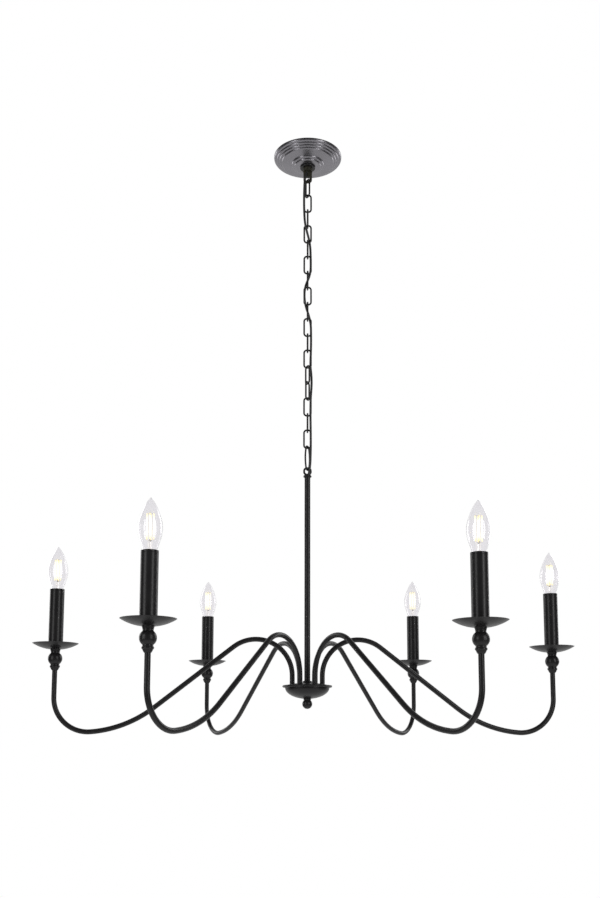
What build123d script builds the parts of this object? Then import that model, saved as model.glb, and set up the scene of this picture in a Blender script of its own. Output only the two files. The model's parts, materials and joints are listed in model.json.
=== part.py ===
from build123d import *
from math import asin, atan2, cos, degrees, hypot, radians, sin, tan
import os

# A six-arm candle chandelier that hangs from the ceiling on a chain.
# Millimetres, +Z up. The origin is at the ceiling, on the axis of the threaded nipple,
# and arm 1 points along +X.

# ---- fits ----
running_fit = 0.05       # radial, a threaded or turned shaft in its hole
seat_gap = 0.05          # between a link's wire and the wire that it hangs on
slip_gap = 0.3           # radial, a piece that slips over another
cord_way = 0.3           # radial, a channel round the supply cord
past = 1                 # how far a cutting shape runs past a face

# ---- ceiling mount ----
strap_length = 104
strap_width = 20
strap_thickness = 2
box_hole_spacing = 88.9
box_slot_length = 12
box_slot_width = 4.8
ground_screw_x = 24
ground_screw_diameter = 4
ground_head_diameter = 8
ground_head_height = 3
ground_slot_width = 1
ground_slot_depth = 0.8
nipple_diameter = 9.7
nipple_bore = 6.6
nipple_nut_flats = 14
nipple_nut_height = 3
canopy_diameter = 120
canopy_lip = 2           # upright edge that meets the ceiling
canopy_wall = 1.2
canopy_shoulder_width = 3.5  # in from the lip
canopy_shoulder_depth = 5
canopy_ridges = 3
canopy_ridge_width = 13  # all the ridges together, in from the shoulder
ridge_ledge = 1
canopy_plate_depth = 12
canopy_boss_radius = 29
canopy_boss_depth = 13.4
canopy_boss_step = 3     # down to the ledge halfway across the boss
canopy_floor_radius = 21
canopy_depth = 18.6
ring_nut_diameter = 27
ring_nut_thickness = 2.8
collar_diameter = 16.5
collar_length = 6.6
collar_groove = 0.6
collar_floor = 2         # under the nipple's end
loop_drop = 13.3         # collar to the centre of the loop
loop_width = 15.5
loop_wire = 4.5
loop_neck_thickness = 5
cap_length = 12          # wire connectors
cap_mouth_diameter = 7.2
cap_tip_diameter = 5
cap_bore = 3.6
cap_bore_depth = 7
core_diameter = 1.2      # each core of the supply cord
canopy_cap_count = 3
canopy_cap_spacing = 9.5
canopy_cap_y = 20.5
canopy_cap_z = -8.2

# ---- chain ----
link_count = 17
link_length = 34.8
link_width = 15
link_wire = 3
link_seat = 2            # short straight at each end, on which the next link hangs
link_butt_gap = 0.5      # where the ends of the bent wire meet
link_turn = 90           # usual turn from one link to the next
link_half_turns = {1: 120, 13: 120, 14: 60, 18: 60}
half_turned_link = 13    # from here on the odd links face the way the even ones did
connector_length = 44.7
connector_width = 18.2
connector_wire = 3
connector_end_radius = 4

# ---- stem ----
stem_ring_width = 14.8
stem_ring_wire = 3.5
stem_bead_diameter = 14.2
stem_bead_height = 3.8
stem_waist_diameter = 10.8
stem_waist_height = 3.2
stem_diameter = 10
stem_wall = 1
stem_length = 350.8
stem_spigot_length = 12
stem_collar_diameter = 15.5
stem_collar_height = 3

# ---- hub ----
hub_dome_rise = 5        # cover's crown above its edge
hub_cover_wall = 1.2
hub_lip_diameter = 83
hub_lip_bead = 3.6
hub_bowl_diameter = 74
hub_bowl_depth = 18.9
hub_wall = 1.2
hub_nipple_bore = 5.4
hub_nipple_top = 12      # reach up into the stem
hub_nut_flats = 13
hub_nut_height = 3
hub_nut_gap = 0.4        # under the crown, where the dome already falls away
hub_window_width = 4.8
hub_window_height = 17
hub_window_drop = 5      # below the cover's crown
hub_cap_radius = 13.5
hub_cap_angles = (30, 150)
finial_ball_diameter = 16.6
finial_neck_diameter = 13
finial_neck_height = 2.2
finial_waist_diameter = 11.2
finial_tip_diameter = 5
finial_tip_height = 0.4
finial_bore_depth = 9
finial_bore_end = 1      # left below the nipple's end

# ---- arms ----
arm_count = 6
arm_turns = (3.7, -2.4, -2.3, 0.7, -1.3, 2)  # degrees, each arm as set by hand in its hole in the hub
candle_circle_radius = 419
arm_tube_diameter = 8.4
arm_tube_wall = 1
arm_hub_radius = 25.1
arm_hub_reach = 16       # below the cover's crown
arm_crown_radius = 60.8
arm_crown_rise = 8.35    # centreline above the pans' rims
arm_sweep_radius = 193.6
arm_sweep_end = 4.5      # degrees past the lowest point where the foot's bend starts
arm_foot_radius = 57.2
arm_drop = 146.2         # centreline below the pans' rims
hub_below_rims = 64.2    # cover's crown below the pans' rims
arm_nut_wall = 1.8       # from the tube to each flat
arm_nut_height = 3
arm_lead_diameter = 1.6
arm_lead_spread = 1.2    # each lead from the middle of the tube
arm_lead_tail = 2        # out of the tube in the hub
arm_lead_head = 6        # out of the tube in the socket

# ---- candles ----
pan_diameter = 75.6
pan_depth = 9.5
pan_wall = 1.2
pan_floor_margin = 0.5   # flat floor beyond the sleeve
pan_belly_radius = 27
pan_belly_share = 0.41   # of the pan's depth left at the belly
knob_height = 35.4
knob_top_diameter = 17.5
knob_waist_diameter = 14.5
knob_ball_diameter = 23.7
knob_bead_diameter = 16.7
knob_foot_wall = 0.7
arm_above_pan = 12
sleeve_diameter = 24
sleeve_wall = 1
sleeve_top = 90.7        # above the pans' rims
sleeve_ring_drop = 3.2
sleeve_ring_depth = 0.3
socket_cup_length = 58
socket_mouth_drop = 12.7  # below the sleeve's top
socket_mouth_gap = 0.5   # between the socket's mouth and the bulb's collar
socket_post_diameter = 14
socket_bore_end = 2      # over the leads' ends
bulb_cap_diameter = 11.9
bulb_cap_length = 20
bulb_cap_foot = 1        # the bevel under the thread
bulb_cap_plain = 3       # of the cap's length has no thread
bulb_thread_pitch = 2.54
bulb_thread_depth = 0.5
bulb_collar_diameter = 18
bulb_collar_height = 6.5
bulb_collar_wall = 1
bulb_contact_diameter = 5
bulb_contact_height = 1.2
bulb_diameter = 33.6
bulb_height = 72         # above the sleeve
bulb_belly_height = 31
bulb_shoulder_height = 53
bulb_shoulder_diameter = 23
bulb_mouth_diameter = 19  # at the sleeve's top
bulb_neck_diameter = 16.6
bulb_glass_wall = 0.8
filament_count = 4
filament_diameter = 1.8
filament_length = 35
filament_foot = 15       # above the sleeve's top
filament_circle = 9
filament_plate_thickness = 0.6
bulb_stem_foot_diameter = 6
bulb_stem_top_diameter = 2.4
bulb_rod_diameter = 1.2

# ---- supply cord ----
# It is woven through the chain by hand, so its points follow no rule.
cord_diameter = 4
cord_route = [
    (0, 15, -8.2),
    (0, 8.5, -8.2),
    (0, 0, -16.5),
    (0, 0, -26),
    (-5.0, -4.6, -39),
    (-6.2, -5.1, -60),
    (-6.6, -4.6, -86),
    (-6.2, -4.8, -108),
    (-4.7, -5.6, -131.2),
    (4.7, 5.6, -159.7),
    (5.6, 5.3, -188),
    (5.6, 4.7, -217.5),
    (-5.6, -4.7, -246),
    (-5.7, -4.6, -275),
    (5.6, 4.7, -303.5),
    (6.3, 4.3, -331),
    (6.1, 4.8, -358),
    (4.8, 6.0, -384),
    (7.0, 2.6, -405),
    (7.1, -2.4, -425),
    (5.3, -5.4, -447),
    (4.9, -5.2, -475),
    (5.4, -4.9, -503),
    (5.6, -5.2, -529),
    (5.2, -6.2, -551),
    (4.4, -5.4, -570),
    (0, 0, -592),
    (0, 0, -944),
    (0, 8.5, -958),
]

# ---- widths and levels ----
canopy_rim = canopy_diameter / 2
canopy_shoulder_radius = canopy_rim - canopy_shoulder_width
canopy_plate_radius = canopy_shoulder_radius - canopy_ridge_width
stem_bore = stem_diameter - 2 * stem_wall
hub_nipple_diameter = stem_bore - 2 * running_fit
arm_nut_flats = arm_tube_diameter + 2 * arm_nut_wall
knob_foot_diameter = arm_tube_diameter + 2 * knob_foot_wall
collar_top = -(canopy_depth + ring_nut_thickness)
collar_bottom = collar_top - collar_length
loop_centre_z = collar_bottom - loop_drop
loop_seat_z = loop_centre_z - (loop_width - loop_wire) / 2
first_link_z = loop_seat_z + (loop_wire + link_wire) / 2 + seat_gap
link_pitch = link_length - 2 * link_wire - seat_gap
last_seat_z = first_link_z - link_count * link_pitch - link_wire - seat_gap
connector_top_z = last_seat_z + (link_wire + connector_wire) / 2 + seat_gap
connector_seat_z = connector_top_z - (connector_length - connector_wire)
stem_ring_top_z = connector_seat_z + (connector_wire + stem_ring_wire) / 2 + seat_gap
stem_ring_centre_z = stem_ring_top_z - (stem_ring_width - stem_ring_wire) / 2
stem_waist_top_z = stem_ring_centre_z - (stem_ring_width - stem_ring_wire) / 2 + stem_ring_wire / 2
stem_bead_top_z = stem_waist_top_z - stem_waist_height
stem_top_z = stem_bead_top_z - stem_bead_height
stem_bottom_z = stem_top_z - stem_length
hub_crown_z = stem_bottom_z
hub_edge_z = hub_crown_z - hub_dome_rise
hub_lip_z = hub_edge_z - (hub_lip_bead - hub_cover_wall) / 2
hub_bowl_top_z = hub_lip_z - hub_lip_bead / 2 - seat_gap
finial_top_z = hub_bowl_top_z - hub_bowl_depth
rim_z = hub_crown_z + hub_below_rims
pan_floor_z = rim_z - pan_depth
pan_inside_z = pan_floor_z + pan_wall
pan_floor_radius = sleeve_diameter / 2 + pan_floor_margin
sleeve_top_z = rim_z + sleeve_top
socket_mouth_z = sleeve_top_z - socket_mouth_drop
bulb_collar_z = socket_mouth_z + socket_mouth_gap
bulb_cap_bottom_z = bulb_collar_z - bulb_cap_length
socket_floor_z = bulb_cap_bottom_z - bulb_contact_height - seat_gap
glass_bottom_z = bulb_collar_z + 2 * bulb_collar_wall
glass_neck_top_z = bulb_collar_z + bulb_collar_height
socket_cup_bottom_z = socket_mouth_z - socket_cup_length
arm_end_z = pan_inside_z + arm_above_pan
arm_tube_radius = arm_tube_diameter / 2


# ---- helpers ----
def spin(*edges):
    """A solid turned about Z from edges drawn as (radius, height)."""
    return revolve(Plane.XZ * make_face(list(edges)), axis=Axis.Z)


def spin_points(*points):
    """A solid turned about Z from a closed run of (radius, height) corners."""
    return spin(*Polyline(*points, close=True).edges())


def rounded_step(start, end):
    """An arc that bulges outwards and downwards from start to end."""
    (r1, z1), (r2, z2) = start, end
    middle = (r1 + 0.29 * (r2 - r1), z1 + 0.71 * (z2 - z1))
    return ThreePointArc(start, middle, end)


def rod(diameter, bottom, top):
    height = top - bottom
    return Pos(0, 0, bottom + height / 2) * Cylinder(diameter / 2, height)


def hex_nut(flats, height, bore_radius, bottom):
    outline = RegularPolygon(flats / 2, 6, major_radius=False)
    body = Pos(0, 0, bottom) * extrude(outline, height)
    return body - rod(2 * bore_radius, bottom - past, bottom + height + past)


def tube_on(path, diameter):
    return sweep(Plane(path @ 0, z_dir=path % 0) * Circle(diameter / 2), path=path)


def fillet_radii(points):
    """For each corner of a route, 0.45 of its shorter run over the tangent of half its turn."""
    radii = []
    for before, here, after in zip(points, points[1:], points[2:]):
        arriving = Vector(*here) - Vector(*before)
        leaving = Vector(*after) - Vector(*here)
        half_turn = radians(arriving.get_angle(leaving)) / 2
        radii.append(0.45 * min(arriving.length, leaving.length) / tan(half_turn))
    return radii


def round_the_axis(shape, count=arm_count):
    return [Rot(0, 0, 360 / count * n) * shape for n in range(count)]


def arm_place(number):
    """Where arm 1 drawn straight along +X goes: round to its hole, then turned in it."""
    turn = arm_turns[(number - 1) % len(arm_turns)]
    hole = Rot(0, 0, 360 / arm_count * (number - 1)) * Pos(arm_hub_radius, 0, 0)
    return hole * Rot(0, 0, turn) * Pos(-arm_hub_radius, 0, 0)


def on_arms(shape):
    return [arm_place(number) * shape for number in range(1, arm_count + 1)]


def candle_place(number):
    return arm_place(number) * Pos(candle_circle_radius, 0, 0)


def at_candles(shape):
    return on_arms(Pos(candle_circle_radius, 0, 0) * shape)


def save(node, *shapes):
    solids = [solid for shape in shapes for solid in shape.solids()]
    whole = solids[0] if len(solids) == 1 else Compound(children=solids)
    whole.label = node
    export_step(whole, f"parts/{node}.step")


# ---- supply cord ----
def cord_path():
    return FilletPolyline(*cord_route, radius=fillet_radii(cord_route))


def supply_cord():
    return tube_on(cord_path(), cord_diameter)


def cord_channel():
    """The room that the mount's and the stem's pieces leave round the cord."""
    return tube_on(cord_path(), cord_diameter + 2 * cord_way)


# ---- ceiling mount ----
def ceiling_strap():
    middle_z = -strap_thickness / 2
    bar = Pos(0, 0, middle_z) * Box(strap_length, strap_width, strap_thickness)
    bar = fillet(bar.edges().filter_by(Axis.Z), strap_width / 4)
    slot = extrude(SlotOverall(box_slot_length, box_slot_width), strap_thickness, both=True)
    for side in (-1, 1):
        bar -= Pos(side * box_hole_spacing / 2, 0, middle_z) * slot
    hole_bottom = -strap_thickness - past
    bar -= rod(nipple_diameter + 2 * running_fit, hole_bottom, past)
    bar -= Pos(ground_screw_x, 0, 0) * rod(ground_screw_diameter + 2 * running_fit, hole_bottom, past)
    return bar


def ground_screw():
    head_bottom = -strap_thickness - ground_head_height
    head = rod(ground_head_diameter, head_bottom, -strap_thickness)
    head = fillet(head.edges().group_by(Axis.Z)[0], ground_slot_depth)
    slit = Box(ground_head_diameter + 2 * past, ground_slot_width, 2 * ground_slot_depth)
    shank = rod(ground_screw_diameter, -strap_thickness, 0)
    return Pos(ground_screw_x, 0, 0) * (head - Pos(0, 0, head_bottom) * slit + shank)


def canopy_nipple():
    tube = rod(nipple_diameter, collar_bottom + collar_floor, 0) - rod(nipple_bore, collar_bottom, past)
    window_top = canopy_cap_z + cord_diameter / 2 + cord_way
    window_height = canopy_depth + window_top
    window = Box(cord_diameter + 2 * cord_way, nipple_diameter, window_height)
    tube -= Pos(0, nipple_diameter / 2, window_top - window_height / 2) * window
    return tube - cord_channel()


def nipple_nut():
    return hex_nut(nipple_nut_flats, nipple_nut_height, nipple_diameter / 2 + running_fit,
                   -strap_thickness - nipple_nut_height)


def canopy():
    edges = [Line((canopy_rim, 0), (canopy_rim, -canopy_lip))]
    here = (canopy_shoulder_radius, -canopy_shoulder_depth)
    edges.append(rounded_step((canopy_rim, -canopy_lip), here))
    step_in = canopy_ridge_width / canopy_ridges
    step_down = (canopy_plate_depth - canopy_shoulder_depth) / canopy_ridges
    for _ in range(canopy_ridges):
        ledge_end = (here[0] - ridge_ledge, here[1])
        edges.append(Line(here, ledge_end))
        here = (here[0] - step_in, here[1] - step_down)
        edges.append(rounded_step(ledge_end, here))
    boss = (canopy_boss_radius, -canopy_boss_depth)
    edges.append(Line(here, boss))
    floor_edge = (canopy_floor_radius, -canopy_depth)
    boss_ledge = ((boss[0] + floor_edge[0]) / 2, boss[1] - canopy_boss_step)
    ledge_end = (boss_ledge[0] - ridge_ledge, boss_ledge[1])
    edges.append(rounded_step(boss, boss_ledge))
    edges.append(Line(boss_ledge, ledge_end))
    edges.append(rounded_step(ledge_end, floor_edge))
    edges.append(Line(floor_edge, (0, -canopy_depth)))
    edges.append(Line((0, -canopy_depth), (0, 0)))
    edges.append(Line((0, 0), (canopy_rim, 0)))
    inside = spin_points(
        (0, past),
        (canopy_rim - canopy_wall, past),
        (canopy_rim - canopy_wall, -canopy_lip),
        (canopy_shoulder_radius - 2 * canopy_wall, -canopy_shoulder_depth + canopy_wall),
        (canopy_plate_radius - canopy_wall, -canopy_plate_depth + canopy_wall),
        (canopy_boss_radius - canopy_wall, -canopy_boss_depth + canopy_wall),
        (canopy_floor_radius - 2 * canopy_wall, -canopy_depth + canopy_wall),
        (0, -canopy_depth + canopy_wall),
    )
    hole = rod(nipple_diameter + 2 * slip_gap, -canopy_depth - past, past)
    return spin(*edges) - inside - hole


def canopy_ring():
    ring = rod(ring_nut_diameter, collar_top, -canopy_depth)
    ring = fillet(ring.edges().group_by(Axis.Z)[0], ring_nut_thickness / 2)
    return ring - rod(nipple_diameter + 2 * running_fit, collar_top - past, 0)


def wire_ring(width, wire):
    """A loop of round wire in the XZ plane, with a short straight where a link hangs."""
    middle = width - wire
    outline = Plane.XZ * RectangleRounded(middle, middle, (middle - link_seat) / 2)
    return tube_on(outline.wire(), wire)


def canopy_loop():
    half = collar_diameter / 2
    groove_z = [collar_top - collar_length * share for share in (0.36, 0.7)]
    collar = rod(collar_diameter, collar_bottom, collar_top)
    for z in groove_z:
        collar -= Pos(0, 0, z) * Torus(half, collar_groove)
    floor_z = collar_bottom + collar_floor
    collar = collar - rod(nipple_diameter + 2 * running_fit, floor_z, collar_top + past)
    collar -= rod(nipple_bore, collar_bottom - past, floor_z + past)
    neck_bottom = loop_centre_z + (loop_width - loop_wire) / 2 - loop_wire / 2
    neck_height = collar_bottom - neck_bottom
    neck = Box(loop_width, loop_neck_thickness, neck_height)
    neck = Pos(0, 0, neck_bottom + neck_height / 2) * neck
    neck = neck & rod(loop_width, neck_bottom, collar_bottom)
    ring = Pos(0, 0, loop_centre_z) * wire_ring(loop_width, loop_wire)
    return collar + neck + ring - cord_channel()


def wire_cap():
    """A wire connector with its mouth at the origin, pointing along +Z."""
    body = Pos(0, 0, cap_length / 2) * Cone(cap_mouth_diameter / 2, cap_tip_diameter / 2, cap_length)
    body = fillet(body.edges().group_by(Axis.Z)[-1], cap_tip_diameter / 4)
    return body - rod(cap_bore, -past, cap_bore_depth)


def canopy_cap_places():
    middle = (canopy_cap_count - 1) / 2
    return [(n - middle) * canopy_cap_spacing for n in range(canopy_cap_count)]


def canopy_wire_caps():
    outwards = Rot(-90, 0, 0) * wire_cap()
    return [Pos(x, canopy_cap_y, canopy_cap_z) * outwards for x in canopy_cap_places()]


def canopy_leads():
    """The cord's cores, fanned out from its cut end into the wire connectors."""
    leads = []
    end = Vector(*cord_route[0])
    for x in canopy_cap_places():
        fan = x / canopy_cap_spacing * (core_diameter + running_fit)
        route = [(fan, end.Y, end.Z), (fan, end.Y + core_diameter, end.Z),
                 (x, canopy_cap_y - core_diameter, canopy_cap_z),
                 (x, canopy_cap_y + cap_bore_depth / 2, canopy_cap_z)]
        path = FilletPolyline(*route, radius=core_diameter) if x else Line(route[0], route[-1])
        leads.append(tube_on(path, core_diameter))
    return leads


# ---- chain ----
def link_yaw(number):
    """The way that a link faces: 0 lies in the XZ plane."""
    if number in link_half_turns:
        return link_half_turns[number]
    past_half_turns = 1 if number > half_turned_link else 0
    return link_turn * ((number + past_half_turns) % 2)


def chain_link(number):
    middle_width = link_width - link_wire
    middle_length = link_length - link_wire
    corner = (middle_width - link_seat) / 2
    outline = RectangleRounded(middle_width, middle_length, corner).wire()
    ring = Plane.XZ * outline
    body = tube_on(ring, link_wire)
    butt = Pos(middle_width / 2, 0, 0) * Box(2 * link_wire, 2 * link_wire, link_butt_gap)
    top_z = first_link_z - (number - 1) * link_pitch
    return Pos(0, 0, top_z - middle_length / 2) * Rot(0, 0, link_yaw(number)) * (body - butt)


def connector_link():
    """A longer link of bowed wire, between the chain and the stem."""
    half_width = (connector_width - connector_wire) / 2
    half_length = (connector_length - connector_wire) / 2
    seat = link_seat / 2
    end_radius = connector_end_radius
    reach = half_length - end_radius
    offset = half_width - seat
    side_radius = (offset**2 + reach**2 - end_radius**2) / (2 * (offset - end_radius))
    side_centre = half_width - side_radius
    lean = atan2(reach, seat - side_centre)
    meet = (side_centre + side_radius * cos(lean), side_radius * sin(lean))
    half_lean = lean + (radians(90) - lean) / 2
    bend = (seat + end_radius * cos(half_lean), reach + end_radius * sin(half_lean))
    side = ThreePointArc((meet[0], -meet[1]), (half_width, 0), meet)
    corner = ThreePointArc(meet, bend, (seat, half_length))
    quarter = [side, corner, mirror(corner, Plane.XZ)]
    half = quarter + [mirror(edge, Plane.YZ) for edge in quarter]
    ends = [Line((-seat, y), (seat, y)) for y in (-half_length, half_length)]
    outline = Wire([e for shape in half + ends for e in shape.edges()])
    body = tube_on(Plane.XZ * outline, connector_wire)
    butt = Pos(half_width, 0, 0) * Box(2 * connector_wire, 2 * connector_wire, link_butt_gap)
    place = Pos(0, 0, connector_top_z - half_length) * Rot(0, 0, link_yaw(link_count + 1))
    return place * (body - butt)


# ---- stem ----
def stem_loop():
    bead = stem_bead_diameter / 2
    waist = stem_waist_diameter / 2
    spigot = stem_bore / 2 - running_fit
    spigot_bottom = stem_top_z - stem_spigot_length
    waist_top = stem_waist_top_z - stem_ring_wire / 2
    turned = spin(
        Line((0, waist_top), (waist, waist_top)),
        Line((waist, waist_top), (waist, stem_bead_top_z)),
        ThreePointArc((waist, stem_bead_top_z), (bead, (stem_bead_top_z + stem_top_z) / 2),
                      (waist, stem_top_z)),
        Line((waist, stem_top_z), (spigot, stem_top_z)),
        Line((spigot, stem_top_z), (spigot, spigot_bottom)),
        Line((spigot, spigot_bottom), (0, spigot_bottom)),
        Line((0, spigot_bottom), (0, waist_top)),
    )
    ring = Pos(0, 0, stem_ring_centre_z) * wire_ring(stem_ring_width, stem_ring_wire)
    return turned + ring - cord_channel()


def stem_tube():
    return rod(stem_diameter, stem_bottom_z, stem_top_z) - rod(stem_bore, stem_bottom_z - past,
                                                               stem_top_z + past)


def stem_collar():
    top = hub_crown_z + stem_collar_height
    body = rod(stem_collar_diameter, hub_crown_z, top)
    body = fillet(body.edges().group_by(Axis.Z)[-1], stem_collar_height / 2)
    return body - rod(stem_diameter + 2 * running_fit, hub_crown_z - past, top + past)


# ---- hub ----
def hub_cover():
    lip_radius = (hub_lip_diameter - hub_lip_bead) / 2
    halfway = lip_radius / 2
    halfway_z = hub_crown_z - hub_dome_rise / 4
    under_z = hub_edge_z - hub_cover_wall
    plate = spin(
        ThreePointArc((0, hub_crown_z), (halfway, halfway_z), (lip_radius, hub_edge_z)),
        Line((lip_radius, hub_edge_z), (lip_radius, under_z)),
        ThreePointArc((lip_radius, under_z), (halfway, halfway_z - hub_cover_wall),
                      (0, hub_crown_z - hub_cover_wall)),
        Line((0, hub_crown_z - hub_cover_wall), (0, hub_crown_z)),
    )
    plate += Pos(0, 0, hub_lip_z) * Torus(lip_radius, hub_lip_bead / 2)
    plate -= rod(hub_nipple_diameter + 2 * running_fit, under_z, hub_crown_z + past)
    hole = rod(arm_tube_diameter + 2 * running_fit, under_z, hub_crown_z + past)
    for place in round_the_axis(Pos(arm_hub_radius, 0, 0) * hole):
        plate -= place
    return plate


def bowl_curve(radius, depth):
    """A quarter of an ellipse from the bowl's edge down to its middle."""
    return EllipticalCenterArc((0, hub_bowl_top_z), radius, depth, start_angle=270, arc_size=90)


def hub_bowl():
    radius = hub_bowl_diameter / 2
    inner_radius = radius - hub_wall
    inner_bottom = finial_top_z + hub_wall
    shell = spin(
        bowl_curve(radius, hub_bowl_depth),
        Line((radius, hub_bowl_top_z), (inner_radius, hub_bowl_top_z)),
        bowl_curve(inner_radius, hub_bowl_depth - hub_wall),
        Line((0, inner_bottom), (0, finial_top_z)),
    )
    return shell - rod(hub_nipple_diameter + 2 * running_fit, finial_top_z - past, inner_bottom + past)


def hub_nipple():
    top = stem_bottom_z + hub_nipple_top
    bottom = finial_top_z - finial_bore_depth + finial_bore_end
    tube = rod(hub_nipple_diameter, bottom, top) - rod(hub_nipple_bore, bottom - past, top + past)
    window_top = hub_crown_z - hub_window_drop
    window = Box(hub_window_width, hub_nipple_diameter, hub_window_height)
    tube -= Pos(0, hub_nipple_diameter / 2, window_top - hub_window_height / 2) * window
    return tube - cord_channel()


def lock_nuts():
    """Under the hub's cover one nut on the nipple and one on each arm, and one in each pan."""
    nut_top = hub_crown_z - hub_cover_wall - hub_nut_gap
    middle = hex_nut(hub_nut_flats, hub_nut_height, hub_nipple_diameter / 2 + running_fit,
                     nut_top - hub_nut_height)
    arm_nut_top = hub_edge_z - hub_cover_wall
    arm_nut = hex_nut(arm_nut_flats, arm_nut_height, arm_tube_radius + running_fit,
                      arm_nut_top - arm_nut_height)
    pan_nut = hex_nut(arm_nut_flats, arm_nut_height, arm_tube_radius + running_fit, pan_inside_z)
    return [middle] + on_arms(Pos(arm_hub_radius, 0, 0) * arm_nut) + at_candles(pan_nut)


def hub_wire_caps():
    top = hub_edge_z - hub_cover_wall - arm_nut_height
    hanging = Pos(hub_cap_radius, 0, top) * Rot(180, 0, 0) * wire_cap()
    return [Rot(0, 0, angle) * hanging for angle in hub_cap_angles]


def finial():
    neck = finial_neck_diameter / 2
    waist = finial_waist_diameter / 2
    ball = finial_ball_diameter / 2
    tip = finial_tip_diameter / 2
    neck_middle_z = finial_top_z - finial_neck_height / 2
    neck_bottom_z = finial_top_z - finial_neck_height
    ball_centre_z = neck_bottom_z - (ball**2 - waist**2) ** 0.5
    tip_z = ball_centre_z - (ball**2 - tip**2) ** 0.5
    body = spin(
        Line((0, finial_top_z), (neck, finial_top_z)),
        ThreePointArc((neck, finial_top_z), ((2 * neck + waist) / 3, neck_middle_z),
                      (waist, neck_bottom_z)),
        ThreePointArc((waist, neck_bottom_z), (ball, ball_centre_z), (tip, tip_z)),
        Line((tip, tip_z), (0, tip_z - finial_tip_height)),
        Line((0, tip_z - finial_tip_height), (0, finial_top_z)),
    )
    bore_bottom = finial_top_z - finial_bore_depth
    return body - rod(hub_nipple_diameter + 2 * running_fit, bore_bottom, finial_top_z + past)


# ---- arms ----
def around(centre, radius, angle):
    """The point at an angle from upright, clockwise, on a circle in the arm's plane."""
    return (centre[0] + radius * sin(angle), centre[1] + radius * cos(angle))


def arm_path(start_z, end_z, sideways=0):
    """Up out of the hub, over the crown, down the slope, round the long sweep and up to the pan."""
    crown = (arm_hub_radius + arm_crown_radius, rim_z + arm_crown_rise - arm_crown_radius)
    foot = (candle_circle_radius - arm_foot_radius, rim_z - arm_drop + arm_foot_radius)
    sweep_end = radians(arm_sweep_end)
    sweep_centre = around(foot, arm_sweep_radius - arm_foot_radius, sweep_end)
    across = sweep_centre[0] - crown[0]
    up = sweep_centre[1] - crown[1]
    slope = asin((arm_crown_radius + arm_sweep_radius) / hypot(across, up)) - atan2(up, across)
    quarter = radians(90)
    crown_start = around(crown, arm_crown_radius, -quarter)
    crown_end = around(crown, arm_crown_radius, slope)
    sweep_start = around(sweep_centre, -arm_sweep_radius, slope)
    foot_start = around(foot, -arm_foot_radius, sweep_end)
    foot_end = around(foot, -arm_foot_radius, -quarter)
    crown_top = around(crown, arm_crown_radius, (slope - quarter) / 2)
    sweep_middle = around(sweep_centre, -arm_sweep_radius, (slope + sweep_end) / 2)
    foot_middle = around(foot, -arm_foot_radius, (sweep_end - quarter) / 2)
    edges = [
        Line((arm_hub_radius, start_z), crown_start),
        ThreePointArc(crown_start, crown_top, crown_end),
        Line(crown_end, sweep_start),
        ThreePointArc(sweep_start, sweep_middle, foot_start),
        ThreePointArc(foot_start, foot_middle, foot_end),
        Line(foot_end, (candle_circle_radius, end_z)),
    ]
    flat = Wire([edge for shape in edges for edge in shape.edges()])
    return Pos(0, sideways, 0) * (Plane.XZ * flat)


def arm_tube():
    start = hub_crown_z - arm_hub_reach
    bore = arm_tube_diameter - 2 * arm_tube_wall
    whole = tube_on(arm_path(start, arm_end_z), arm_tube_diameter)
    return whole - tube_on(arm_path(start - past, arm_end_z + past), bore)


def arm_leads():
    """Two leads in each arm, from the hub to the socket."""
    start = hub_crown_z - arm_hub_reach - arm_lead_tail
    end = arm_end_z + arm_lead_head
    pair = [tube_on(arm_path(start, end, side * arm_lead_spread), arm_lead_diameter) for side in (-1, 1)]
    return [lead for one in pair for lead in on_arms(one)]


def arm_knobs():
    """The turned coupling between an arm's tube and its pan."""
    top = pan_floor_z
    flange = knob_top_diameter / 2
    waist = knob_waist_diameter / 2
    ball = knob_ball_diameter / 2
    bead = knob_bead_diameter / 2
    foot = knob_foot_diameter / 2

    def level(share):
        return top - knob_height * share

    body = spin(
        Line((0, top), (flange, top)),
        Line((flange, top), (flange * 0.97, level(0.03))),
        ThreePointArc((flange * 0.97, level(0.03)), (waist * 1.04, level(0.11)), (waist, level(0.19))),
        ThreePointArc((waist, level(0.19)), (ball, level(0.45)), (waist, level(0.71))),
        Line((waist, level(0.71)), (waist, level(0.76))),
        ThreePointArc((waist, level(0.76)), (bead, level(0.82)), (waist * 0.98, level(0.88))),
        ThreePointArc((waist * 0.98, level(0.88)), ((waist + foot) / 2, level(0.955)), (foot, level(1))),
        Line((foot, level(1)), (0, level(1))),
        Line((0, level(1)), (0, top)),
    )
    body -= rod(arm_tube_diameter + 2 * running_fit, level(1) - past, top + past)
    return at_candles(body)


# ---- candles ----
def drip_pans():
    rim = pan_diameter / 2
    belly = (pan_belly_radius, rim_z - pan_depth * (1 - pan_belly_share))
    underside = ThreePointArc((pan_floor_radius, pan_floor_z), belly, (rim, rim_z))
    inside = ThreePointArc((rim - pan_wall, rim_z), (belly[0] - pan_wall / 3, belly[1] + pan_wall),
                           (pan_floor_radius, pan_inside_z))
    body = spin(
        Line((0, pan_floor_z), (pan_floor_radius, pan_floor_z)),
        underside,
        Line((rim, rim_z), (rim - pan_wall, rim_z)),
        inside,
        Line((pan_floor_radius, pan_inside_z), (0, pan_inside_z)),
        Line((0, pan_inside_z), (0, pan_floor_z)),
    )
    body -= rod(arm_tube_diameter + 2 * running_fit, pan_floor_z - past, pan_inside_z + past)
    return at_candles(body)


def candle_sleeves():
    outer = sleeve_diameter
    body = rod(outer, pan_inside_z, sleeve_top_z)
    body -= rod(outer - 2 * sleeve_wall, pan_inside_z - past, sleeve_top_z + past)
    body -= Pos(0, 0, sleeve_top_z - sleeve_ring_drop) * Torus(outer / 2, sleeve_ring_depth)
    return at_candles(body)


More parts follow.
